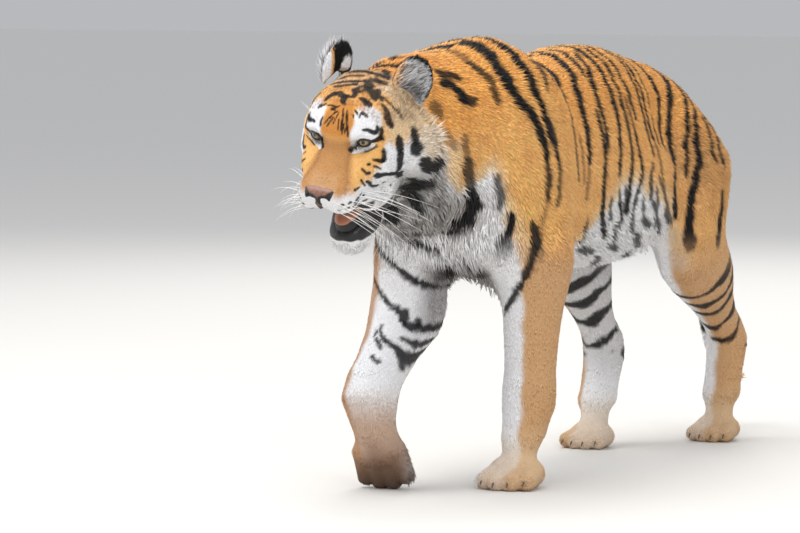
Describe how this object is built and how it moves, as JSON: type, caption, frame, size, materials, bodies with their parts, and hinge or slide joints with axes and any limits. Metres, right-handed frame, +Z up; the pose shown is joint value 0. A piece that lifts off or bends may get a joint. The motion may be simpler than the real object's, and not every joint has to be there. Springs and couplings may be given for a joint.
{
  "type": "tiger",
  "caption": "Life-size still model of an adult tiger walking with its head low, its mouth open and one forepaw swinging forward.",
  "frame": {"origin": "bottom centre of the bounding box: on the ground, midway along the body from nose to tail tip", "axes": "+X towards the tiger's left side, +Y from its head towards its tail, +Z up"},
  "size_m": [0.4504, 2.0412, 0.9863],
  "materials": {
    "coat": "winter fur, orange with black stripes and white below, drawn here in its main colour",
    "pale_coat": "pale fur of the chin and the ears",
    "nose_skin": "bare pinkish-brown nose skin",
    "tongue_skin": "moist tongue",
    "eye": "wet amber-green eye"
  },
  "bodies": {
    "root": {"head": "coat", "neck": "coat", "trunk": "coat", "tail_root": "coat", "tail_middle": "coat", "tail_tip": "coat", "upper_arm_left": "coat", "forearm_left": "coat", "forepaw_left": "coat", "upper_arm_right": "coat", "forearm_right": "coat", "forepaw_right": "coat", "thigh_left": "coat", "shank_left": "coat", "hindpaw_left": "coat", "thigh_right": "coat", "shank_right": "coat", "hindpaw_right": "coat", "jaw": "pale_coat", "ear_left": "pale_coat", "ear_right": "pale_coat", "nose": "nose_skin", "tongue": "tongue_skin", "eye_left": "eye", "eye_right": "eye"}
  },
  "joints": []
}
